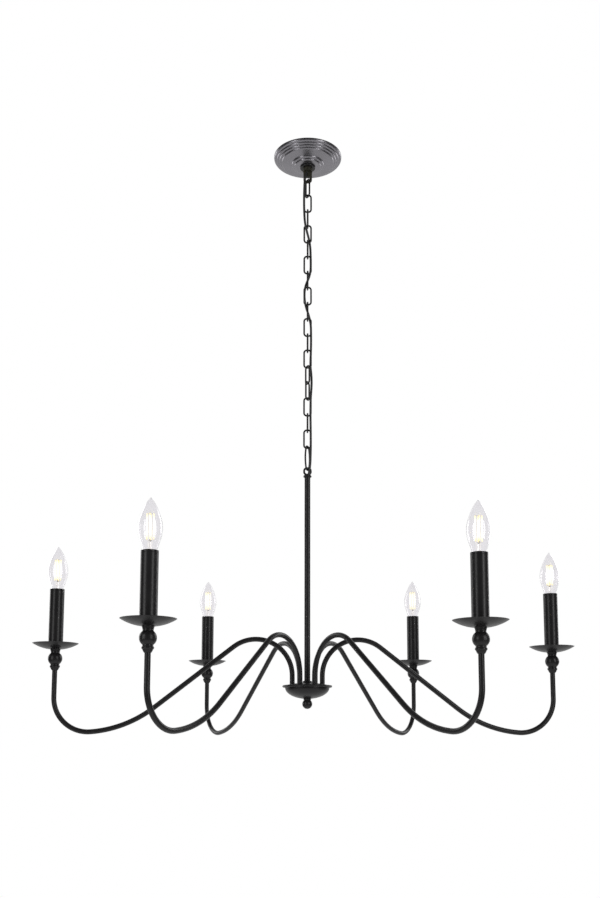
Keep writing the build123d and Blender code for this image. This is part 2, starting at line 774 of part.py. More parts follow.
def candle_sockets():
    cup = sleeve_diameter / 2 - sleeve_wall - slip_gap
    mouth = bulb_cap_diameter / 2 + slip_gap
    post = socket_post_diameter / 2
    post_bore = arm_tube_radius + running_fit
    post_bottom = pan_inside_z + arm_nut_height
    post_bore_top = arm_end_z + arm_lead_head + socket_bore_end
    body = spin_points(
        (post_bore, post_bottom),
        (post, post_bottom),
        (post, socket_cup_bottom_z),
        (cup, socket_cup_bottom_z),
        (cup, socket_mouth_z),
        (mouth, socket_mouth_z),
        (mouth, socket_floor_z),
        (0, socket_floor_z),
        (0, post_bore_top),
        (post_bore, post_bore_top),
    )
    return at_candles(body)


def glass_form(wall, bottom_z):
    """The flame-shaped bulb as a full solid, thinned by a wall."""
    foot = (bulb_neck_diameter / 2 - wall, bottom_z)
    neck = (bulb_neck_diameter / 2 - wall, glass_neck_top_z)
    mouth = (bulb_mouth_diameter / 2 - wall, sleeve_top_z)
    belly = (bulb_diameter / 2 - wall, sleeve_top_z + bulb_belly_height)
    shoulder = (bulb_shoulder_diameter / 2 - wall, sleeve_top_z + bulb_shoulder_height)
    tip = (0, sleeve_top_z + bulb_height - wall)
    side = Spline(neck, mouth, belly, shoulder, tip, tangents=[(0.1, 1), (-1, 0.8)])
    return spin(Line(foot, neck), side, Line(tip, (0, bottom_z)), Line((0, bottom_z), foot))


def bulb_glass(number):
    body = glass_form(0, glass_bottom_z) - glass_form(bulb_glass_wall, glass_bottom_z - past)
    return candle_place(number) * body


def screw_cap():
    """The screw cap with its rolled thread, the collar round the glass and the end contact."""
    crest = bulb_cap_diameter / 2
    root = crest - bulb_thread_depth
    contact = bulb_contact_diameter / 2
    contact_z = bulb_cap_bottom_z - bulb_contact_height
    z = bulb_cap_bottom_z + bulb_cap_foot
    edges = [
        Line((0, contact_z), (contact, contact_z)),
        Line((contact, contact_z), (contact, bulb_cap_bottom_z)),
        Line((contact, bulb_cap_bottom_z), (root, z)),
    ]
    for _ in range(int((bulb_cap_length - bulb_cap_plain) / bulb_thread_pitch)):
        top = z + bulb_thread_pitch
        edges.append(ThreePointArc((root, z), (crest, z + bulb_thread_pitch / 2), (root, top)))
        z = top
    collar = bulb_collar_diameter / 2
    inside = bulb_neck_diameter / 2 + running_fit
    floor_z = glass_bottom_z - seat_gap
    edges += [
        Line((root, z), (root, bulb_collar_z)),
        Line((root, bulb_collar_z), (collar, bulb_collar_z + bulb_collar_wall)),
        Line((collar, bulb_collar_z + bulb_collar_wall), (collar, glass_neck_top_z)),
        Line((collar, glass_neck_top_z), (inside, glass_neck_top_z)),
        Line((inside, glass_neck_top_z), (inside, floor_z)),
        Line((inside, floor_z), (0, floor_z)),
        Line((0, floor_z), (0, contact_z)),
    ]
    return spin(*edges)


def filament_stand():
    """The glass stem with its rod and the two plates that hold the filaments."""
    foot = bulb_stem_foot_diameter / 2
    top = bulb_stem_top_diameter / 2
    wire = bulb_rod_diameter / 2
    plate = (filament_circle + filament_diameter) / 2
    floor_z = glass_bottom_z - seat_gap
    low = sleeve_top_z + filament_foot
    high = low + filament_length
    thick = filament_plate_thickness
    return spin_points(
        (0, floor_z),
        (foot, floor_z),
        (top, low - thick),
        (plate, low - thick),
        (plate, low),
        (wire, low),
        (wire, high),
        (plate, high),
        (plate, high + thick),
        (0, high + thick),
    )


def bulb_base(number):
    low = sleeve_top_z + filament_foot
    stick = Pos(filament_circle / 2, 0, 0) * rod(filament_diameter, low, low + filament_length)
    pieces = [screw_cap(), filament_stand()] + round_the_axis(stick, filament_count)
    return [candle_place(number) * piece for piece in pieces]


def main():
    os.makedirs("parts", exist_ok=True)
    save("ceiling_strap", ceiling_strap())
    save("ground_screw", ground_screw())
    save("canopy_nipple", canopy_nipple())
    save("nipple_nut", nipple_nut())
    save("canopy", canopy())
    save("canopy_ring", canopy_ring())
    save("canopy_loop", canopy_loop())
    save("canopy_wire_caps", *canopy_wire_caps())
    save("canopy_leads", *canopy_leads())
    for number in range(1, link_count + 1):
        save(f"chain_link_{number:02d}", chain_link(number))
    save("connector_link", connector_link())
    save("supply_cord", supply_cord())
    save("stem_loop", stem_loop())
    save("stem_tube", stem_tube())
    save("stem_collar", stem_collar())
    save("hub_cover", hub_cover())
    save("hub_bowl", hub_bowl())
    save("hub_nipple", hub_nipple())
    save("lock_nuts", *lock_nuts())
    save("hub_wire_caps", *hub_wire_caps())
    save("finial", finial())
    for number, arm in enumerate(on_arms(arm_tube()), 1):
        save(f"arm_{number}", arm)
    save("arm_leads", *arm_leads())
    save("arm_knobs", *arm_knobs())
    save("drip_pans", *drip_pans())
    save("candle_sockets", *candle_sockets())
    save("candle_sleeves", *candle_sleeves())
    for number in range(1, arm_count + 1):
        save(f"bulb_glass_{number}", bulb_glass(number))
        save(f"bulb_base_{number}", *bulb_base(number))
    print("supply cord's bend radii:", [round(r, 1) for r in fillet_radii(cord_route)])
    section = radians(180) * cord_diameter**2 / 4
    print(f"supply cord: {cord_path().length:.0f} mm long,",
          f"volume {supply_cord().volume:.0f} of {section * cord_path().length:.0f} mm3")


if __name__ == "__main__":
    main()
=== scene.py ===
import bpy
import json
import math
from mathutils import Matrix, Vector

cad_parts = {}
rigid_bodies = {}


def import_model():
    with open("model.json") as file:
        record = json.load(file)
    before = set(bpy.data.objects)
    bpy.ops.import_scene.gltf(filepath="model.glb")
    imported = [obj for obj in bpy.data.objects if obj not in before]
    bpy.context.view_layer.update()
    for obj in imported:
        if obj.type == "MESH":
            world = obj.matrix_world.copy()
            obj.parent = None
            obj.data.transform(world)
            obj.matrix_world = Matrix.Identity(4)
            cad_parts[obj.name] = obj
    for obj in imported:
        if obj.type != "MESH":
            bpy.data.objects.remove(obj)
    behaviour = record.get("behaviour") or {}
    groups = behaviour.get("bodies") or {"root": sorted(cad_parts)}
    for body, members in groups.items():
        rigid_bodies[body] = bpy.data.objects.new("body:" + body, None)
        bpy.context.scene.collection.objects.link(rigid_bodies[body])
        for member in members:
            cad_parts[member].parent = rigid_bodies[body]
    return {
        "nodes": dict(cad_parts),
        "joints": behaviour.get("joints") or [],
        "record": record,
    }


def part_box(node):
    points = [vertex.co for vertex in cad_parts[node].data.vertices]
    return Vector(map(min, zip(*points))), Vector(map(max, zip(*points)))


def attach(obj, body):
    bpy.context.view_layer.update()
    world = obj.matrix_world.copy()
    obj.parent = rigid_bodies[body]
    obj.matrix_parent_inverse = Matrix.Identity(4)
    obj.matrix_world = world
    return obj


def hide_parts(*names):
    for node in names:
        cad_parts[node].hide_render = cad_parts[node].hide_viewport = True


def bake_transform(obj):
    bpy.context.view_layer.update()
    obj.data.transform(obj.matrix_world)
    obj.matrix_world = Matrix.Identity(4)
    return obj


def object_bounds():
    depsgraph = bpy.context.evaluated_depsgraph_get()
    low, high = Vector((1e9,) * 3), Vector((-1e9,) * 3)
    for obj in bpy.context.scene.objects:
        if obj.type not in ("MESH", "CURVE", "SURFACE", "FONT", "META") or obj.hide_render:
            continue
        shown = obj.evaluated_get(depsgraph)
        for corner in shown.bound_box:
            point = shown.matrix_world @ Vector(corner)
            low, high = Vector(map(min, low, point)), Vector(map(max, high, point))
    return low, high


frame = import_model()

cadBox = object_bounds()
mm = 0.001
scene = bpy.context.scene
record = frame["record"]
cadNodes = frame["nodes"]
bodyNodes = record["behaviour"]["bodies"]
hinges = [joint for joint in frame["joints"] if joint["type"] == "hinge"]
ceilingBody = hinges[0]["parent"]
fixtureBody = hinges[-1]["child"]
bulbBodies = sorted(name for name in bodyNodes if name.startswith("bulb_"))
print("frame: %d nodes, %d bodies" % (len(cadNodes), len(bodyNodes)))


camera = {
    "place": (-0.0382, -1.6570, -1.0278),
    "turn": -0.978,          # degrees, about the vertical
    "tilt": 7.323,           # degrees, upwards
    "roll": 0.095,
    "lens": 59.57,           # millimetres
    "sensorWidth": 36,       # millimetres
    "shift": (-0.0024, 0.2679),
    "nearest": 0.05,
}


def makeCamera():
    data = bpy.data.cameras.new("viewCamera")
    data.sensor_fit = "HORIZONTAL"
    data.sensor_width = camera["sensorWidth"]
    data.lens = camera["lens"]
    data.shift_x, data.shift_y = camera["shift"]
    data.clip_start = camera["nearest"]
    data.dof.use_dof = False
    seen = bpy.data.objects.new("viewCamera", data)
    turn = Matrix.Rotation(math.radians(camera["turn"]), 4, "Z")
    tilt = Matrix.Rotation(math.radians(90 + camera["tilt"]), 4, "X")
    roll = Matrix.Rotation(math.radians(camera["roll"]), 4, "Z")
    seen.matrix_world = Matrix.Translation(camera["place"]) @ turn @ tilt @ roll
    scene.collection.objects.link(seen)
    scene.camera = seen


makeCamera()
print("camera placed")


def newPiece(name, points, faces, smooth=True):
    mesh = bpy.data.meshes.new(name)
    mesh.from_pydata([tuple(p) for p in points], [], faces)
    mesh.validate()
    mesh.update()
    if smooth:
        mesh.polygons.foreach_set("use_smooth", [True] * len(mesh.polygons))
    piece = bpy.data.objects.new(name, mesh)
    scene.collection.objects.link(piece)
    return piece


def ringsToFaces(rings, around, closed=False):
    # quads between rings of equal size, each ring following the last
    faces = []
    last = rings if closed else rings - 1
    for ring in range(last):
        here, there = ring * around, (ring + 1) % rings * around
        for n in range(around):
            m = (n + 1) % around
            faces.append((here + n, here + m, there + m, there + n))
    return faces


def tubeRings(points, radius, around):
    # rings that don't twist, square to the line
    rings = []
    side = None
    for n, here in enumerate(points):
        before = points[max(n - 1, 0)]
        after = points[min(n + 1, len(points) - 1)]
        along = (after - before).normalized()
        if side is None:
            side = along.orthogonal()
        side = (side - along * side.dot(along)).normalized()
        up = along.cross(side)
        turns = [2 * math.pi * k / around for k in range(around)]
        rings.append([here + (side * math.cos(t) + up * math.sin(t)) * radius for t in turns])
    return rings


def tubeShape(rings, capped=True):
    # points and faces, with one flat face over each end where it is capped
    around = len(rings[0])
    points = [p for ring in rings for p in ring]
    faces = ringsToFaces(len(rings), around)
    if capped:
        faces.append(tuple(reversed(range(around))))
        faces.append(tuple(range(len(points) - around, len(points))))
    return points, faces


def tubePiece(name, rings, capped=True):
    return newPiece(name, *tubeShape(rings, capped))


def aside(centre, out, turn):
    return centre[0] + out * math.cos(turn), centre[1] + out * math.sin(turn)


def turned(outline, centre, around, swell=None):
    # a closed outline of (radius, height) turned about an upright line through centre
    points = []
    for radius, height in outline:
        for k in range(around):
            turn = 2 * math.pi * k / around
            out = radius + (swell(height, turn) if swell else 0)
            points.append((*aside(centre, out, turn), height))
    return points, ringsToFaces(len(outline), around, closed=True)


def joined(name, shapes):
    # several shapes in one mesh
    points, faces = [], []
    for shapePoints, shapeFaces in shapes:
        start = len(points)
        points += [tuple(p) for p in shapePoints]
        faces += [tuple(n + start for n in face) for face in shapeFaces]
    return newPiece(name, points, faces)


cord = {
    "diameter": 4.0,
    "around": 20,
    "steps": 8,              # spline steps between neighbouring points
    "hiddenTop": -30.0,      # above here it follows the ceiling mount
    "stemTop": -590.0,       # below here it follows the fixture
    "route": [               # millimetres, woven through the chain
        (0, 15, -8.2),
        (0, 8.5, -8.2),
        (0, 0, -16.5),
        (0, 0, -26),
        (-5.0, -4.6, -39),
        (-6.2, -5.1, -60),
        (-6.6, -4.6, -86),
        (-6.2, -4.8, -108),
        (-4.7, -5.6, -131.2),
        (4.7, 5.6, -159.7),
        (5.6, 5.3, -188),
        (5.6, 4.7, -217.5),
        (-5.6, -4.7, -246),
        (-5.7, -4.6, -275),
        (5.6, 4.7, -303.5),
        (6.3, 4.3, -331),
        (6.1, 4.8, -358),
        (4.8, 6.0, -384),
        (7.0, 2.6, -405),
        (7.1, -2.4, -425),
        (5.3, -5.4, -447),
        (4.9, -5.2, -475),
        (5.4, -4.9, -503),
        (5.6, -5.2, -529),
        (5.2, -6.2, -551),
        (4.4, -5.4, -570),
        (0, 0, -592),
        (0, 0, -944),
        (0, 8.5, -958),
    ],
}


def cordLine():
    # the points along the route's own spline
    data = bpy.data.curves.new("cordRoute", "CURVE")
    data.dimensions = "3D"
    data.resolution_u = cord["steps"]
    spline = data.splines.new("NURBS")
    spline.points.add(len(cord["route"]) - 1)
    for point, (x, y, z) in zip(spline.points, cord["route"]):
        point.co = (x * mm, y * mm, z * mm, 1)
    spline.order_u = 3
    spline.use_endpoint_u = True
    holder = bpy.data.objects.new("cordRoute", data)
    line = bpy.data.meshes.new_from_object(holder)
    points = [v.co.copy() for v in line.vertices]
    bpy.data.objects.remove(holder)
    bpy.data.meshes.remove(line)
    return points


def middleOf(node):
    low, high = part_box(node)
    return (low.z + high.z) / 2


def cordCuts():
    # a level in each link's middle, where the cord passes from one joint's stretch to the next
    cuts = [cord["hiddenTop"] * mm]
    for joint in hinges[:-1]:
        cuts.append(middleOf(bodyNodes[joint["child"]][0]))
    cuts.append(cord["stemTop"] * mm)
    return cuts


def makeCord():
    points = cordLine()
    cuts = cordCuts()
    ends = [min(range(len(points)), key=lambda n: abs(points[n].z - cut)) for cut in cuts]
    rings = tubeRings(points, cord["diameter"] / 2 * mm, cord["around"])
    stretches = [tubePiece("cordInMount", rings[:ends[0] + 1])]
    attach(stretches[0], ceilingBody)
    for number, joint in enumerate(hinges):
        first, last = ends[number], ends[number + 1]
        piece = tubePiece("cordStretch%02d" % (number + 1), rings[first:last + 1], capped=False)
        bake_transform(piece)
        stretches.append(piece)
    stretches.append(tubePiece("cordInStem", rings[ends[-1]:]))
    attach(stretches[-1], fixtureBody)
    for piece in stretches:
        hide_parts("supply_cord")
    return stretches


cordPieces = makeCord()
print("cord: %d stretches" % len(cordPieces))


class Value:
    # a node's output that can stand in an expression
    def __init__(self, maker, output):
        self.maker = maker
        self.output = output

    def math(self, operation, first, second):
        return self.maker.node("ShaderNodeMath", {"operation": operation}, {0: first, 1: second})

    def __add__(self, other):
        return self.math("ADD", self, other)

    def __radd__(self, other):
        return self.math("ADD", other, self)

    def __sub__(self, other):
        return self.math("SUBTRACT", self, other)

    def __rsub__(self, other):
        return self.math("SUBTRACT", other, self)

    def __mul__(self, other):
        return self.math("MULTIPLY", self, other)

    def __rmul__(self, other):
        return self.math("MULTIPLY", other, self)

    def larger(self, other):
        return self.math("MAXIMUM", self, other)


class Maker:
    # the node tree of one material, or of the world
    def __init__(self, owner, shader="Principled BSDF"):
        self.owner = owner
        owner.use_nodes = True
        self.tree = owner.node_tree
        self.shader = self.tree.nodes[shader]

    def put(self, socket, value):
        if isinstance(value, Value):
            self.tree.links.new(value.output, socket)
        elif isinstance(value, tuple) and len(value) == 3 and socket.type == "RGBA":
            socket.default_value = (*value, 1)
        else:
            socket.default_value = value

    def node(self, kind, settings=None, sockets=None, output=0):
        made = self.tree.nodes.new(kind)
        for name, value in (settings or {}).items():
            if name == "stops":
                while len(made.color_ramp.elements) < len(value):
                    made.color_ramp.elements.new(1)
                for stop, (place, shade) in zip(made.color_ramp.elements, value):
                    stop.position = place
                    stop.color = (shade, shade, shade, 1)
            else:
                setattr(made, name, value)
        for name, value in (sockets or {}).items():
            self.put(made.inputs[name], value)
        return Value(self, made.outputs[output])

    def place(self):
        return self.node("ShaderNodeTexCoord", output="Object")

    def noise(self, size, detail):
        # cloudy value from 0 to 1, with patches of about size metres
        return self.node("ShaderNodeTexNoise", {}, {
            "Vector": self.place(), "Scale": 1 / size, "Detail": detail, "Roughness": 0.55})

    def ramp(self, value, stops):
        return self.node("ShaderNodeValToRGB", {"stops": stops}, {"Fac": value})

    def mixColour(self, amount, first, second):
        return self.node("ShaderNodeMix", {"data_type": "RGBA"}, {
            "Factor": amount, 6: first, 7: second}, output=2)

    def facingUp(self):
        normal = self.node("ShaderNodeNewGeometry", output="Normal")
        return self.node("ShaderNodeSeparateXYZ", {}, {0: normal}, output="Z")

    def bump(self, height, strength, distance):
        normal = self.node("ShaderNodeBump", {}, {
            "Height": height, "Strength": strength, "Distance": distance})
        self.put(self.shader.inputs["Normal"], normal)

    def surface(self, **sockets):
        for name, value in sockets.items():
            self.put(self.shader.inputs[name.replace("_", " ")], value)
        return self.owner


def materialMaker(name):
    return Maker(bpy.data.materials.new(name))


satinBlack = {
    "colour": (0.0070, 0.0066, 0.0072),
    "worn": (0.0100, 0.0094, 0.0098),
    "wornPatches": [(0.35, 0), (0.7, 1)],
    "cloudSize": 0.03,
    "dust": (0.07, 0.068, 0.065),
    "dustAmount": 0.06,
    "dustSlope": [(0.55, 0), (0.98, 1)],      # how far up a face has to look
    "dustPatches": [(0.38, 0), (0.62, 1)],
    "speckSize": 0.0022,
    "speckShare": 0.6,       # of the dust's patches, the rest being clouds
    "roughness": 0.33,
    "roughnessSpread": 0.12,
    "grainSize": 0.0016,
    "grainStrength": 0.3,
    "grainDepth": 0.000006,
    "swellSize": 5,          # the broad waves in the paint, in grains
    "swellShare": 0.6,
    "metallic": 0.0,
    "specular": 0.32,
}


def paintFinish(name, look):
    # sprayed satin paint: fine orange peel, cloudy gloss and a breath of dust on top faces
    make = materialMaker(name)
    clouds = make.noise(look["cloudSize"], 4)
    specks = make.noise(look["speckSize"], 2)
    spots = specks * look["speckShare"] + clouds * (1 - look["speckShare"])
    dusty = make.ramp(make.facingUp(), look["dustSlope"])
    dusty = dusty * make.ramp(spots, look["dustPatches"]) * look["dustAmount"]
    tone = make.mixColour(make.ramp(clouds, look["wornPatches"]), look["colour"], look["worn"])
    swells = make.noise(look["grainSize"] * look["swellSize"], 1) * look["swellShare"]
    make.bump(make.noise(look["grainSize"], 2) + swells, look["grainStrength"], look["grainDepth"])
    return make.surface(
        Base_Color=make.mixColour(dusty, tone, look["dust"]),
        Roughness=look["roughness"] + (clouds - 0.5) * look["roughnessSpread"] + dusty,
        Metallic=look["metallic"],
        Specular_IOR_Level=look["specular"],
    )


plating = {
    "cloudSize": 0.012,
    "tarnish": 0.72,         # of the plating's own colour
    "tarnishPatches": [(0.4, 0), (0.75, 1)],
    "roughnessSpread": 0.2,
    "lineSize": 0.0006,
    "lineStrength": 0.25,
    "lineDepth": 0.00003,
}


def plated(name, colour, roughness):
    # bright plating with fine drawn lines and dull patches
    make = materialMaker(name)
    clouds = make.noise(plating["cloudSize"], 4)
    dull = tuple(c * plating["tarnish"] for c in colour)
    make.bump(make.noise(plating["lineSize"], 2), plating["lineStrength"], plating["lineDepth"])
    return make.surface(
        Base_Color=make.mixColour(make.ramp(clouds, plating["tarnishPatches"]), colour, dull),
        Roughness=roughness + (clouds - 0.5) * plating["roughnessSpread"],
        Metallic=1.0,
    )


moulding = {
    "cloudSize": 0.02,
    "paleFactor": 1.35,      # the palest patches against the colour
    "paleLift": 0.002,
    "roughnessSpread": 0.14,
    "grainSize": 0.0009,
    "grainStrength": 0.3,
    "grainDepth": 0.00004,
}


def moulded(name, colour, roughness, grainSize=moulding["grainSize"]):
    # moulded plastic: a faint grain and slightly uneven colour
    make = materialMaker(name)
    clouds = make.noise(moulding["cloudSize"], 3)
    pale = tuple(c * moulding["paleFactor"] + moulding["paleLift"] for c in colour)
    make.bump(make.noise(grainSize, 3), moulding["grainStrength"], moulding["grainDepth"])
    return make.surface(
        Base_Color=make.mixColour(clouds, colour, pale),
        Roughness=roughness + (clouds - 0.5) * moulding["roughnessSpread"],
    )


glass = {
    "refraction": 1.45,
    "streakScale": 40.0,
    "streakStretch": (1, 1, 0.15),            # long up and down
    "streakStrength": 0.02,
    "streakDepth": 0.00002,
}


def clearGlass(name, tint):
    # faint streaks, as blown glass has
    make = materialMaker(name)
    stretched = make.node("ShaderNodeVectorMath", {"operation": "MULTIPLY"}, {
        0: make.place(), 1: glass["streakStretch"]})
    streaks = make.node("ShaderNodeTexNoise", {}, {
        "Vector": stretched, "Scale": glass["streakScale"], "Detail": 0.0})
    make.bump(streaks, glass["streakStrength"], glass["streakDepth"])
    return make.surface(Base_Color=tint, Roughness=0.0, IOR=glass["refraction"], Transmission_Weight=1.0)


glow = {
    "unlit": (0.9, 0.78, 0.45),
    "ends": (0.62, 0.53, 0.27),
    "middle": (1.0, 0.95, 0.74),
    "middleSpan": [(0.02, 0), (0.22, 1), (0.78, 1), (0.98, 0)],
    "strength": 1.5,
    "roughness": 0.5,
    "mottleSize": 0.0012,
    "mottling": [(0.3, 0.85), (0.7, 1)],
}


def glowing(name):
    # phosphor coated stick: white hot in the middle, yellower and dimmer at the ends, a little mottled
    make = materialMaker(name)
    inBox = make.node("ShaderNodeTexCoord", output="Generated")
    along = make.node("ShaderNodeSeparateXYZ", {}, {0: inBox}, output="Z")
    mottled = make.ramp(make.noise(glow["mottleSize"], 2), glow["mottling"])
    heat = make.ramp(along, glow["middleSpan"]) * mottled
    return make.surface(
        Base_Color=glow["unlit"],
        Roughness=glow["roughness"],
        Emission_Color=make.mixColour(heat, glow["ends"], glow["middle"]),
        Emission_Strength=glow["strength"],
    )


canopyLook = {
    **satinBlack,
    "colour": (0.245, 0.238, 0.256),
    "worn": (0.275, 0.267, 0.288),
    "metallic": 0.95,
    "roughness": 0.3,
    "roughnessSpread": 0.05,
    "dustAmount": 0.0,
    "grainDepth": 0.0000008,
}
collarLook = {
    **satinBlack,
    "colour": (0.016, 0.0155, 0.011),
    "worn": (0.03, 0.028, 0.019),
    "roughness": 0.32,
}
finishes = {
    "black_satin": paintFinish("blackSatinPaint", satinBlack),
    "canopy_gunmetal": paintFinish("canopyPaint", canopyLook),
    "collar_bronze": paintFinish("collarPaint", collarLook),
    "zinc_steel": plated("zincPlate", (0.62, 0.63, 0.66), 0.32),
    "ground_green": plated("greenPlate", (0.06, 0.36, 0.13), 0.35),
    "cord_plastic": moulded("cordJacket", (0.012, 0.012, 0.012), 0.42, grainSize=0.0016),
    "lead_plastic": moulded("leadInsulation", (0.03, 0.03, 0.032), 0.45),
    "wire_cap_plastic": moulded("wireCapPlastic", (0.40, 0.41, 0.43), 0.5),
    "socket_plastic": moulded("socketPhenolic", (0.02, 0.018, 0.016), 0.4),
    "bulb_glass": clearGlass("bulbGlass", (0.895, 0.887, 0.902)),
    "bulb_cap_metal": plated("bulbCapNickel", (0.72, 0.70, 0.66), 0.25),
}
bulbFinishes = {
    "glow": glowing("filamentGlow"),
    "stand": clearGlass("standGlass", (0.95, 0.93, 0.91)),
    "solder": plated("solderGrey", (0.42, 0.42, 0.43), 0.45),
    "insulator": moulded("blackGlass", (0.012, 0.011, 0.014), 0.15),
}
print("finishes: %d" % (len(finishes) + len(bulbFinishes)))


def dress(piece, finish):
    piece.data.materials.clear()
    piece.data.materials.append(finish)


slotOf = {entry["node"]: entry["material_slot"] for entry in record["subparts"]}
for node, piece in cadNodes.items():
    dress(piece, finishes[slotOf[node]])
for piece in cordPieces:
    dress(piece, finishes["cord_plastic"])


bulb = {                     # millimetres, up from the foot of the screw cap
    "contactRadius": 2.5,
    "contactDrop": 1.2,
    "contactDome": [(0.6, 1), (0.95, 0.7), (1, 0.35)],        # shares of the radius and the drop
    "contactTop": -0.3,
    "insulatorRadius": 4.3,
    "insulatorFlat": 0.8,    # of its radius
    "insulatorFoot": -0.32,
    "insulatorBevel": 0.2,
    "insulatorTop": 0.1,
    "footChamfer": (0.4, 0.45),               # in from the thread's root, and up
    "threadRoot": 5.45,
    "threadDepth": 0.5,
    "threadFrom": 1.0,
    "threadTo": 17.5,
    "threadFade": 1.2,       # the height over which it fades at each end
    "threadRoundness": 0.8,
    "threadSteps": 66,
    "pitch": 2.54,
    "neck": [(0, -0.9), (0.25, -0.3)],        # from the thread's root and the collar's foot
    "collarFrom": 20.0,
    "collarTo": 26.5,
    "collarRadius": 9.0,
    "collarFlare": [(-0.7, 0.55), (-0.15, 0.95), (0, 1.4)],   # from the collar's radius and foot
    "collarLip": (0.15, 0.3),                 # in, and down
    "collarWall": 0.65,
    "collarFloorGap": 0.1,   # under the stand
    "standFoot": 22.0,
    "standFootRadius": 4.6,
    "standWaistRadius": 1.5,
    "standFlare": 2.2,       # the power that its radius falls by
    "standSteps": 16,
    "standTip": [(0.7, 0.5), (0, 0.7)],       # share of the waist, and up
    "standGap": 2.6,         # under the sticks
    "wireRadius": 0.28,
    "wireAround": 10,
    "wireReach": 0.3,        # past the sticks' ends
    "postRadius": 1.4,       # in wire radii
    "postDrop": 2.8,         # under the sticks
    "frameRadius": 4.5,      # the circle that the glowing sticks stand on
    "lowSpoke": [(0, -1.6), (0.5, -1.1), (1, 0)],             # share of the circle, and up
    "highSpoke": [(0, -0.2), (0.5, -0.1), (1, -0.1)],
    "stickRadius": 0.9,
    "stickCount": 4,
    "stickFoot": 47.2,
    "stickTop": 82.2,
    "stickEnd": [(0, 0), (0.7, 0.12), (1, 0.6)],              # share of the radius, and in
    "capAround": 60,
    "contactAround": 32,
    "standAround": 24,
    "stickAround": 16,
}


def threadSwell(height, turn):
    # a rolled screw thread that fades out at both ends; height in metres above the cap's foot
    up = height / mm
    fadeIn = min(1, max(0, (up - bulb["threadFrom"]) / bulb["threadFade"]))
    fadeOut = min(1, max(0, (bulb["threadTo"] - up) / bulb["threadFade"]))
    wave = 0.5 - 0.5 * math.cos(2 * math.pi * (up / bulb["pitch"] - turn / (2 * math.pi)))
    return bulb["threadDepth"] * mm * fadeIn * fadeOut * wave ** bulb["threadRoundness"]


def raised(outline, foot):
    return [(radius * mm, foot + height * mm) for radius, height in outline]


def stickTurns():
    return [2 * math.pi * n / bulb["stickCount"] for n in range(bulb["stickCount"])]


def capShape(centre, foot):
    # the threaded shell, and the collar that holds the glass
    root, rim = bulb["threadRoot"], bulb["collarRadius"]
    threadFrom, steps = bulb["threadFrom"], bulb["threadSteps"]
    threadRise = bulb["threadTo"] - threadFrom
    collarFrom, collarTo = bulb["collarFrom"], bulb["collarTo"]
    chamferIn, chamferUp = bulb["footChamfer"]
    lipIn, lipDown = bulb["collarLip"]
    inner = rim - bulb["collarWall"]
    floor = bulb["standFoot"] - bulb["collarFloorGap"]
    outline = [(0, 0), (bulb["insulatorRadius"], 0), (root - chamferIn, chamferUp)]
    outline += [(root, threadFrom + threadRise * n / steps) for n in range(steps + 1)]
    outline += [(root + out, collarFrom + up) for out, up in bulb["neck"]]
    outline += [(rim + out, collarFrom + up) for out, up in bulb["collarFlare"]]
    outline += [(rim, collarTo - lipDown), (rim - lipIn, collarTo)]
    outline += [(inner, collarTo), (inner, floor), (0, floor)]

    def swell(height, turn):
        return threadSwell(height - foot, turn)

    return turned(raised(outline, foot), centre, bulb["capAround"], swell)


def standShape(centre, foot):
    # flared glass stem, drawn in to a rod
    base, top = bulb["standFoot"], bulb["stickFoot"] - bulb["standGap"]
    waist, steps = bulb["standWaistRadius"], bulb["standSteps"]
    flare = bulb["standFootRadius"] - waist
    outline = [(0, base)]
    for n in range(steps + 1):
        share = n / steps
        outline.append((waist + flare * (1 - share) ** bulb["standFlare"], base + (top - base) * share))
    outline += [(waist * out, top + up) for out, up in bulb["standTip"]]
    return turned(raised(outline, foot), centre, bulb["standAround"])


def wireShapes(centre, foot):
    # the wire frame: a post, with spokes to both ends of each stick
    low, high = bulb["stickFoot"] - bulb["wireReach"], bulb["stickTop"] + bulb["wireReach"]
    radius = bulb["wireRadius"] * mm

    def wire(corners, turn, thickness):
        # corners are of distance out and height
        ends = [Vector((*aside(centre, out * mm, turn), foot + up * mm)) for out, up in corners]
        return tubeShape(tubeRings(ends, thickness, bulb["wireAround"]))

    post = [(0, bulb["stickFoot"] - bulb["postDrop"]), (0, high)]
    shapes = [wire(post, 0, radius * bulb["postRadius"])]
    for turn in stickTurns():
        for level, spoke in ((low, bulb["lowSpoke"]), (high, bulb["highSpoke"])):
            corners = [(bulb["frameRadius"] * share, level + up) for share, up in spoke]
            shapes.append(wire(corners, turn, radius))
    return shapes


def stickShapes(centre, foot):
    # the sticks that glow, with rounded ends
    radius, low, high = bulb["stickRadius"], bulb["stickFoot"], bulb["stickTop"]
    outline = [(radius * share, low + up) for share, up in bulb["stickEnd"]]
    outline.append((radius, (low + high) / 2))
    outline += [(radius * share, high - up) for share, up in reversed(bulb["stickEnd"])]
    shapes = []
    for turn in stickTurns():
        place = aside(centre, bulb["frameRadius"] * mm, turn)
        shapes.append(turned(raised(outline, foot), place, bulb["stickAround"]))
    return shapes


def tipShape(centre, foot):
    # the solder button under the cap
    radius, drop, top = bulb["contactRadius"], bulb["contactDrop"], bulb["contactTop"]
    outline = [(0, -drop)]
    outline += [(radius * out, -drop * down) for out, down in bulb["contactDome"]]
    outline += [(radius, top), (0, top)]
    return turned(raised(outline, foot), centre, bulb["contactAround"])


def insulatorShape(centre, foot):
    wide, top, under = bulb["insulatorRadius"], bulb["insulatorTop"], bulb["insulatorFoot"]
    outline = [(0, under), (wide * bulb["insulatorFlat"], under), (wide, under + bulb["insulatorBevel"])]
    outline += [(wide, top), (0, top)]
    return turned(raised(outline, foot), centre, bulb["contactAround"])


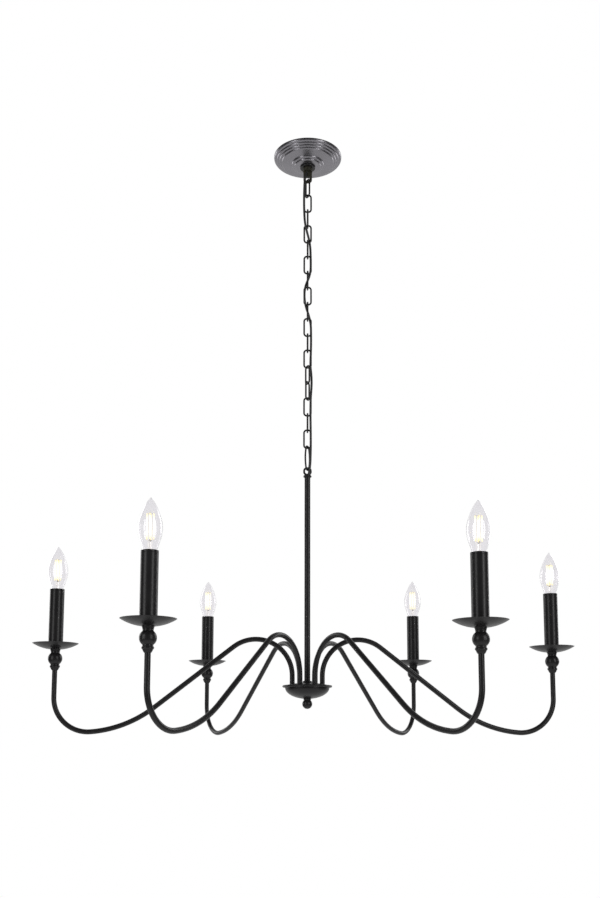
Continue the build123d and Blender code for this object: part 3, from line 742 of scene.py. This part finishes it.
def makeBulb(body):
    number = body[-1]
    base = "bulb_base_" + number
    low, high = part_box(base)
    centre = ((low.x + high.x) / 2, (low.y + high.y) / 2)
    foot = low.z + bulb["contactDrop"] * mm
    capMetal = finishes["bulb_cap_metal"]
    made = [                 # name, shapes, slot, finish
        ("screwCap_", [capShape(centre, foot)], "bulb_cap_metal", capMetal),
        ("solderTip_", [tipShape(centre, foot)], "bulb_cap_metal", bulbFinishes["solder"]),
        ("capInsulator_", [insulatorShape(centre, foot)], "socket_plastic", bulbFinishes["insulator"]),
        ("glassStand_", [standShape(centre, foot)], "bulb_glass", bulbFinishes["stand"]),
        ("wireFrame_", wireShapes(centre, foot), "bulb_cap_metal", capMetal),
        ("glowSticks_", stickShapes(centre, foot), "bulb_cap_metal", bulbFinishes["glow"]),
    ]
    for name, shapes, slot, finish in made:
        piece = joined(name + number, shapes)
        dress(piece, finish)
        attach(piece, body)
        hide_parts(base)


for body in bulbBodies:
    makeBulb(body)
print("bulbs: %d" % len(bulbBodies))


studio = {
    "floorDrop": 2.44,       # below the ceiling
    "floorSize": 5.0,
    "floorGrey": 0.66,
    "floorRoughness": 0.7,
    "floorSpread": 0.1,
    "floorCloudSize": 0.3,
    "mirroredFront": 0.05,   # the room as glossy surfaces see it, towards the front
    "mirroredBack": 0.75,    # and its pale back wall
    "wallEdges": (0.1, 0.85),                 # where the wall begins and is full, towards the back
    "lights": [              # place, width, height, watts
        ((1.55, -1.75, -0.35), 0.55, 1.9, 16),
        ((-1.65, -1.65, -0.45), 0.55, 1.9, 12),
        ((1.9, 1.3, 0.1), 0.7, 1.6, 10),
        ((-1.9, 1.4, -0.2), 0.7, 1.6, 8),
    ],
}


def makeFloor():
    half = studio["floorSize"] / 2
    level = -studio["floorDrop"]
    corners = [(-half, -half, level), (half, -half, level), (half, half, level), (-half, half, level)]
    floor = newPiece("studioFloor", corners, [(0, 1, 2, 3)], smooth=False)
    make = materialMaker("paleFloor")
    clouds = make.noise(studio["floorCloudSize"], 3)
    dress(floor, make.surface(
        Base_Color=(studio["floorGrey"],) * 3,
        Roughness=studio["floorRoughness"] + clouds * studio["floorSpread"],
    ))


def makeLights():
    middle = (cadBox[0] + cadBox[1]) / 2
    for number, (place, width, height, watts) in enumerate(studio["lights"]):
        data = bpy.data.lights.new("softLight%d" % number, "AREA")
        data.shape = "RECTANGLE"
        data.size, data.size_y = width, height
        data.energy = watts
        lamp = bpy.data.objects.new("softLight%d" % number, data)
        lamp.location = place
        lamp.rotation_euler = (middle - Vector(place)).to_track_quat("-Z", "Y").to_euler()
        scene.collection.objects.link(lamp)


def makeWorld():
    # white to look at, through and by; in reflections a dark room with a pale back wall
    world = bpy.data.worlds.new("studioWorld")
    scene.world = world
    make = Maker(world, "Background")
    plain = make.node("ShaderNodeLightPath", output="Is Camera Ray")
    for ray in ("Is Transmission Ray", "Is Diffuse Ray"):
        plain = plain.larger(make.node("ShaderNodeLightPath", output=ray))
    towards = make.node("ShaderNodeTexCoord", output="Generated")
    backwards = make.node("ShaderNodeSeparateXYZ", {}, {0: towards}, output="Y")
    wallBegins, wallFull = studio["wallEdges"]
    mirrored = make.node("ShaderNodeMapRange", {"interpolation_type": "SMOOTHSTEP"}, {
        "Value": backwards, "From Min": wallBegins, "From Max": wallFull,
        "To Min": studio["mirroredFront"], "To Max": studio["mirroredBack"]})
    make.surface(Color=(1, 1, 1), Strength=plain + (1 - plain) * mirrored)


makeFloor()
makeLights()
makeWorld()
scene.view_settings.view_transform = "Standard"
print("studio ready")

bpy.context.view_layer.update()
